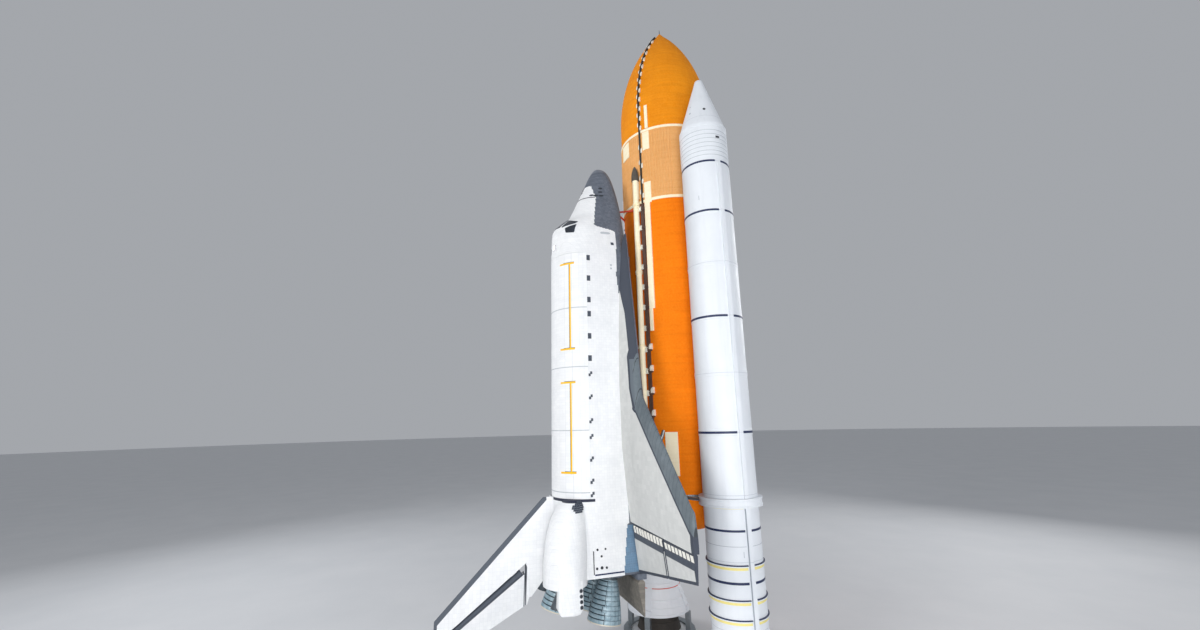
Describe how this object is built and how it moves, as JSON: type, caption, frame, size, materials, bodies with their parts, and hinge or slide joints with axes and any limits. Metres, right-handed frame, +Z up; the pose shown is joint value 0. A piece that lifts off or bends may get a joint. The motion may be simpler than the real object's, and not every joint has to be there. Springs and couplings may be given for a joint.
{
  "type": "half-size model of a space shuttle on its launch stack",
  "caption": "Winged orbiter standing on end on its external tank between solid rocket boosters on hold-down stands, a half-size model with moving doors, flight controls and engines.",
  "frame": {"origin": "on the floor, at the middle of the ground that the whole model covers", "axes": "+Z up towards the noses, +X towards the orbiter's right wing, -Y out of the orbiter's back, +Y from the orbiter towards the tank"},
  "size_m": [11.8948, 11.6828, 28.2003],
  "materials": {
    "orange_foam": "matte",
    "tan_foam": "matte",
    "cream_foam": "matte",
    "red_paint": "satin",
    "grey_steel": "satin",
    "white_paint": "satin",
    "dark_liner": "matte",
    "carbon_grey": "matte",
    "white_tile": "matte",
    "dark_tile": "matte",
    "bell_metal": "satin"
  },
  "bodies": {
    "launch_stack": {"et_oxygen_tank": "orange_foam", "et_hydrogen_tank": "orange_foam", "et_intertank": "tan_foam", "et_nose_cap": "cream_foam", "et_feedline": "cream_foam", "et_cable_tray": "cream_foam", "et_upper_cable_tray": "cream_foam", "et_bipod": "red_paint", "et_crossbeam": "grey_steel", "et_aft_struts_right": "grey_steel", "et_aft_struts_left": "grey_steel", "booster_struts_right": "grey_steel", "booster_struts_left": "grey_steel", "hold_down_stand_right": "grey_steel", "hold_down_stand_left": "grey_steel", "booster_nose_cone_right": "white_paint", "booster_nose_cone_left": "white_paint", "booster_forward_skirt_right": "white_paint", "booster_forward_skirt_left": "white_paint", "booster_motor_case_right": "white_paint", "booster_motor_case_left": "white_paint", "booster_attach_ring_right": "white_paint", "booster_attach_ring_left": "white_paint", "booster_aft_skirt_right": "white_paint", "booster_aft_skirt_left": "white_paint", "nose_cap": "carbon_grey", "wing_edge_right": "carbon_grey", "wing_edge_left": "carbon_grey", "forward_fuselage": "white_tile", "mid_fuselage": "white_tile", "aft_fuselage": "white_tile", "fin": "white_tile", "oms_pod_right": "white_tile", "oms_pod_left": "white_tile", "wing_right": "white_tile", "wing_left": "white_tile", "oms_engine_right": "bell_metal", "oms_engine_left": "bell_metal"},
    "payload_door_right": {"payload_door_right": "white_tile"},
    "payload_door_left": {"payload_door_left": "white_tile"},
    "crew_hatch": {"crew_hatch": "white_tile"},
    "elevon_inboard_right": {"elevon_inboard_right": "white_tile"},
    "elevon_outboard_right": {"elevon_outboard_right": "white_tile"},
    "elevon_inboard_left": {"elevon_inboard_left": "white_tile"},
    "elevon_outboard_left": {"elevon_outboard_left": "white_tile"},
    "body_flap": {"body_flap": "dark_tile"},
    "rudder_spine": {"rudder_spine": "dark_tile"},
    "rudder_panel_right": {"rudder_panel_right": "white_tile"},
    "rudder_panel_left": {"rudder_panel_left": "white_tile"},
    "engine_gimbal_upper": {"engine_gimbal_upper": "grey_steel"},
    "main_engine_upper": {"main_engine_upper": "bell_metal"},
    "engine_gimbal_right": {"engine_gimbal_right": "grey_steel"},
    "main_engine_right": {"main_engine_right": "bell_metal"},
    "engine_gimbal_left": {"engine_gimbal_left": "grey_steel"},
    "main_engine_left": {"main_engine_left": "bell_metal"},
    "booster_nozzle_bearing_right": {"booster_nozzle_bearing_right": "dark_liner"},
    "booster_nozzle_right": {"booster_nozzle_right": "dark_liner"},
    "booster_nozzle_bearing_left": {"booster_nozzle_bearing_left": "dark_liner"},
    "booster_nozzle_left": {"booster_nozzle_left": "dark_liner"}
  },
  "joints": [
    {"name": "payload_door_right_hinge", "type": "hinge", "parent": "launch_stack", "child": "payload_door_right", "pos_m": [1.3462, -0.77152, 10.8839], "axis": [0, 0, 1], "range_deg": [0, 175.5]},
    {"name": "payload_door_left_hinge", "type": "hinge", "parent": "launch_stack", "child": "payload_door_left", "pos_m": [-1.3462, -0.77152, 10.8839], "axis": [0, 0, -1], "range_deg": [0, 175.5]},
    {"name": "crew_hatch_hinge", "type": "hinge", "parent": "launch_stack", "child": "crew_hatch", "pos_m": [-1.25095, 0.18098, 16.4592], "axis": [0, 0, -1], "range_deg": [0, 90]},
    {"name": "elevon_inboard_right_hinge", "type": "hinge", "parent": "launch_stack", "child": "elevon_inboard_right", "pos_m": [2.7178, 0.82219, 5.2705], "axis": [0.9998, -0.0209, 0], "range_deg": [-35, 20]},
    {"name": "elevon_outboard_right_hinge", "type": "hinge", "parent": "launch_stack", "child": "elevon_outboard_right", "pos_m": [4.9276, 0.77603, 5.2705], "axis": [0.9998, -0.0209, 0], "range_deg": [-35, 20]},
    {"name": "elevon_inboard_left_hinge", "type": "hinge", "parent": "launch_stack", "child": "elevon_inboard_left", "pos_m": [-2.7178, 0.82219, 5.2705], "axis": [0.9998, 0.0209, 0], "range_deg": [-35, 20]},
    {"name": "elevon_outboard_left_hinge", "type": "hinge", "parent": "launch_stack", "child": "elevon_outboard_left", "pos_m": [-4.9276, 0.77603, 5.2705], "axis": [0.9998, 0.0209, 0], "range_deg": [-35, 20]},
    {"name": "body_flap_hinge", "type": "hinge", "parent": "launch_stack", "child": "body_flap", "pos_m": [0, 0.92393, 3.429], "axis": [1, 0, 0], "range_deg": [-11.7, 22.55]},
    {"name": "rudder_hinge", "type": "hinge", "parent": "launch_stack", "child": "rudder_spine", "pos_m": [0, -4.11797, 3.01924], "axis": [0, -0.8208, -0.5712], "range_deg": [-27.1, 27.1]},
    {"name": "speed_brake_right_hinge", "type": "hinge", "parent": "rudder_spine", "child": "rudder_panel_right", "pos_m": [0, -4.11797, 3.01924], "axis": [0, -0.8208, -0.5712], "range_deg": [0, 43.6]},
    {"name": "speed_brake_left_hinge", "type": "hinge", "parent": "rudder_spine", "child": "rudder_panel_left", "pos_m": [0, -4.11797, 3.01924], "axis": [0, 0.8208, 0.5712], "range_deg": [0, 43.6]},
    {"name": "main_engine_upper_pitch", "type": "hinge", "parent": "launch_stack", "child": "engine_gimbal_upper", "pos_m": [0, -1.10807, 4.5339], "axis": [1, 0, 0], "range_deg": [-10.5, 10.5]},
    {"name": "main_engine_upper_yaw", "type": "hinge", "parent": "engine_gimbal_upper", "child": "main_engine_upper", "pos_m": [0, -1.10807, 4.5339], "axis": [0, -0.9613, 0.2756], "range_deg": [-8.5, 8.5]},
    {"name": "main_engine_right_pitch", "type": "hinge", "parent": "launch_stack", "child": "engine_gimbal_right", "pos_m": [0.6731, 0.16701, 4.2418], "axis": [1, 0, 0], "range_deg": [-10.5, 10.5]},
    {"name": "main_engine_right_yaw", "type": "hinge", "parent": "engine_gimbal_right", "child": "main_engine_right", "pos_m": [0.6731, 0.16701, 4.2418], "axis": [0, -0.9848, 0.174], "range_deg": [-8.5, 8.5]},
    {"name": "main_engine_left_pitch", "type": "hinge", "parent": "launch_stack", "child": "engine_gimbal_left", "pos_m": [-0.6731, 0.16701, 4.2418], "axis": [1, 0, 0], "range_deg": [-10.5, 10.5]},
    {"name": "main_engine_left_yaw", "type": "hinge", "parent": "engine_gimbal_left", "child": "main_engine_left", "pos_m": [-0.6731, 0.16701, 4.2418], "axis": [0, -0.9848, 0.174], "range_deg": [-8.5, 8.5]},
    {"name": "booster_nozzle_right_tilt", "type": "hinge", "parent": "launch_stack", "child": "booster_nozzle_bearing_right", "pos_m": [3.18135, 3.71158, 1.8666], "axis": [1, 0, 0], "range_deg": [-5, 5]},
    {"name": "booster_nozzle_right_rock", "type": "hinge", "parent": "booster_nozzle_bearing_right", "child": "booster_nozzle_right", "pos_m": [3.18135, 3.71158, 1.8666], "axis": [0, 1, 0], "range_deg": [-5, 5]},
    {"name": "booster_nozzle_left_tilt", "type": "hinge", "parent": "launch_stack", "child": "booster_nozzle_bearing_left", "pos_m": [-3.18135, 3.71158, 1.8666], "axis": [1, 0, 0], "range_deg": [-5, 5]},
    {"name": "booster_nozzle_left_rock", "type": "hinge", "parent": "booster_nozzle_bearing_left", "child": "booster_nozzle_left", "pos_m": [-3.18135, 3.71158, 1.8666], "axis": [0, 1, 0], "range_deg": [-5, 5]}
  ],
  "couplings": [
    {"joint": "speed_brake_left_hinge", "follows": "speed_brake_right_hinge", "ratio": 1}
  ]
}
